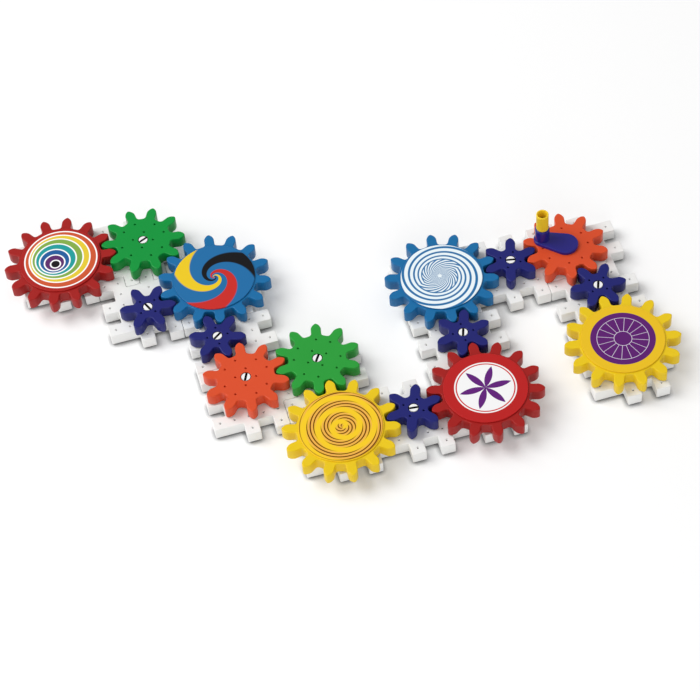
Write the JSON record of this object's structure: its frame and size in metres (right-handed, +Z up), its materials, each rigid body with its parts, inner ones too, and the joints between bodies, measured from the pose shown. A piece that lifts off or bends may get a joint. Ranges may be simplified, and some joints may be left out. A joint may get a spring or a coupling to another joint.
{
  "type": "crank gear toy",
  "caption": "Toy gear board: square base plates joined by fingers carry meshing gears on pins, and one hand crank turns the whole train.",
  "frame": {"origin": "on the resting plane, under the middle of the toy's bounding box", "axes": "+X along the row of plates, from the gear at the far left to the gear at the far right; +Y away from the viewer of the picture; +Z up, along every gear axis"},
  "size_m": [0.5138, 0.3346, 0.0576],
  "materials": {
    "white_plate": "satin white, moulded",
    "white_pin": "satin white, moulded",
    "red_plastic": "glossy, moulded",
    "green_plastic": "glossy, moulded",
    "blue_plastic": "glossy, moulded",
    "indigo_plastic": "glossy, moulded",
    "orange_plastic": "glossy, moulded",
    "yellow_plastic": "glossy, moulded",
    "disc_red": "glossy, printed",
    "disc_blue": "glossy, printed",
    "disc_yellow": "glossy, printed",
    "arm_plastic": "high gloss, moulded",
    "knob_plastic": "satin, moulded"
  },
  "bodies": {
    "base": {"base_plate_01": "white_plate", "base_plate_02": "white_plate", "base_plate_03": "white_plate", "base_plate_04": "white_plate", "base_plate_05": "white_plate", "base_plate_06": "white_plate", "base_plate_07": "white_plate", "base_plate_08": "white_plate", "base_plate_09": "white_plate", "base_plate_10": "white_plate", "base_plate_11": "white_plate", "base_plate_12": "white_plate", "base_plate_13": "white_plate", "base_plate_14": "white_plate", "base_plate_15": "white_plate", "base_plate_16": "white_plate", "axle_pin_01": "white_pin", "axle_pin_02": "white_pin", "axle_pin_03": "white_pin", "axle_pin_04": "white_pin", "axle_pin_05": "white_pin", "axle_pin_06": "white_pin", "axle_pin_07": "white_pin", "axle_pin_08": "white_pin", "axle_pin_09": "white_pin", "axle_pin_10": "white_pin", "axle_pin_11": "white_pin", "axle_pin_12": "white_pin", "axle_pin_13": "white_pin", "axle_pin_14": "white_pin", "axle_pin_15": "white_pin", "axle_pin_16": "white_pin"},
    "gear_01": {"gear_01_large_red": "red_plastic", "pattern_disc_01": "disc_red"},
    "gear_02": {"gear_02_medium_green": "green_plastic"},
    "gear_03": {"gear_03_large_blue": "blue_plastic", "pattern_disc_03": "disc_blue"},
    "gear_04": {"gear_04_small_indigo": "indigo_plastic"},
    "gear_05": {"gear_05_small_indigo": "indigo_plastic"},
    "gear_06": {"gear_06_medium_orange": "orange_plastic"},
    "gear_07": {"gear_07_medium_green": "green_plastic"},
    "gear_08": {"gear_08_large_yellow": "yellow_plastic", "pattern_disc_08": "disc_yellow"},
    "gear_09": {"gear_09_small_indigo": "indigo_plastic"},
    "gear_10": {"gear_10_large_red": "red_plastic", "pattern_disc_10": "disc_red"},
    "gear_11": {"gear_11_small_indigo": "indigo_plastic"},
    "gear_12": {"gear_12_large_blue": "blue_plastic", "pattern_disc_12": "disc_blue"},
    "gear_13": {"gear_13_small_indigo": "indigo_plastic"},
    "gear_14": {"gear_14_medium_orange": "orange_plastic", "crank_arm": "arm_plastic"},
    "gear_15": {"gear_15_small_indigo": "indigo_plastic"},
    "gear_16": {"gear_16_large_yellow": "yellow_plastic", "pattern_disc_16": "disc_yellow"},
    "knob": {"crank_knob": "knob_plastic"}
  },
  "joints": [
    {"name": "crank_turn", "type": "hinge", "parent": "base", "child": "gear_14", "pos_m": [0.19831, 0.00012, 0.018], "axis": [0, 0, 1], "continuous": true},
    {"name": "gear_01_turn", "type": "hinge", "parent": "base", "child": "gear_01", "pos_m": [-0.20969, 0.12012, 0.018], "axis": [0, 0, 1], "continuous": true},
    {"name": "gear_02_turn", "type": "hinge", "parent": "base", "child": "gear_02", "pos_m": [-0.13769, 0.12012, 0.018], "axis": [0, 0, 1], "continuous": true},
    {"name": "gear_03_turn", "type": "hinge", "parent": "base", "child": "gear_03", "pos_m": [-0.08969, 0.06012, 0.018], "axis": [0, 0, 1], "continuous": true},
    {"name": "gear_04_turn", "type": "hinge", "parent": "base", "child": "gear_04", "pos_m": [-0.14969, 0.04812, 0.018], "axis": [0, 0, 1], "continuous": true},
    {"name": "gear_05_turn", "type": "hinge", "parent": "base", "child": "gear_05", "pos_m": [-0.10169, 0.00012, 0.018], "axis": [0, 0, 1], "continuous": true},
    {"name": "gear_06_turn", "type": "hinge", "parent": "base", "child": "gear_06", "pos_m": [-0.08969, -0.04788, 0.018], "axis": [0, 0, 1], "continuous": true},
    {"name": "gear_07_turn", "type": "hinge", "parent": "base", "child": "gear_07", "pos_m": [-0.02969, -0.04788, 0.018], "axis": [0, 0, 1], "continuous": true},
    {"name": "gear_08_turn", "type": "hinge", "parent": "base", "child": "gear_08", "pos_m": [-0.02969, -0.11988, 0.018], "axis": [0, 0, 1], "continuous": true},
    {"name": "gear_09_turn", "type": "hinge", "parent": "base", "child": "gear_09", "pos_m": [0.03031, -0.11988, 0.018], "axis": [0, 0, 1], "continuous": true},
    {"name": "gear_10_turn", "type": "hinge", "parent": "base", "child": "gear_10", "pos_m": [0.09031, -0.11988, 0.018], "axis": [0, 0, 1], "continuous": true},
    {"name": "gear_11_turn", "type": "hinge", "parent": "base", "child": "gear_11", "pos_m": [0.09031, -0.05988, 0.018], "axis": [0, 0, 1], "continuous": true},
    {"name": "gear_12_turn", "type": "hinge", "parent": "base", "child": "gear_12", "pos_m": [0.09031, 0.00012, 0.018], "axis": [0, 0, 1], "continuous": true},
    {"name": "gear_13_turn", "type": "hinge", "parent": "base", "child": "gear_13", "pos_m": [0.15031, 0.00012, 0.018], "axis": [0, 0, 1], "continuous": true},
    {"name": "gear_15_turn", "type": "hinge", "parent": "base", "child": "gear_15", "pos_m": [0.21031, -0.04788, 0.018], "axis": [0, 0, 1], "continuous": true},
    {"name": "gear_16_turn", "type": "hinge", "parent": "base", "child": "gear_16", "pos_m": [0.21031, -0.10788, 0.018], "axis": [0, 0, 1], "continuous": true},
    {"name": "knob_spin", "type": "hinge", "parent": "gear_14", "child": "knob", "pos_m": [0.18177, 0.01136, 0.0404], "axis": [0, 0, 1], "continuous": true}
  ],
  "couplings": [
    {"joint": "gear_01_turn", "follows": "crank_turn", "ratio": 0.71429},
    {"joint": "gear_02_turn", "follows": "crank_turn", "ratio": -1},
    {"joint": "gear_03_turn", "follows": "crank_turn", "ratio": 0.71429},
    {"joint": "gear_04_turn", "follows": "crank_turn", "ratio": -1.6667},
    {"joint": "gear_05_turn", "follows": "crank_turn", "ratio": -1.6667},
    {"joint": "gear_06_turn", "follows": "crank_turn", "ratio": 1},
    {"joint": "gear_07_turn", "follows": "crank_turn", "ratio": -1},
    {"joint": "gear_08_turn", "follows": "crank_turn", "ratio": 0.71429},
    {"joint": "gear_09_turn", "follows": "crank_turn", "ratio": -1.6667},
    {"joint": "gear_10_turn", "follows": "crank_turn", "ratio": 0.71429},
    {"joint": "gear_11_turn", "follows": "crank_turn", "ratio": -1.6667},
    {"joint": "gear_12_turn", "follows": "crank_turn", "ratio": 0.71429},
    {"joint": "gear_13_turn", "follows": "crank_turn", "ratio": -1.6667},
    {"joint": "gear_15_turn", "follows": "crank_turn", "ratio": -1.6667},
    {"joint": "gear_16_turn", "follows": "crank_turn", "ratio": 0.71429}
  ]
}
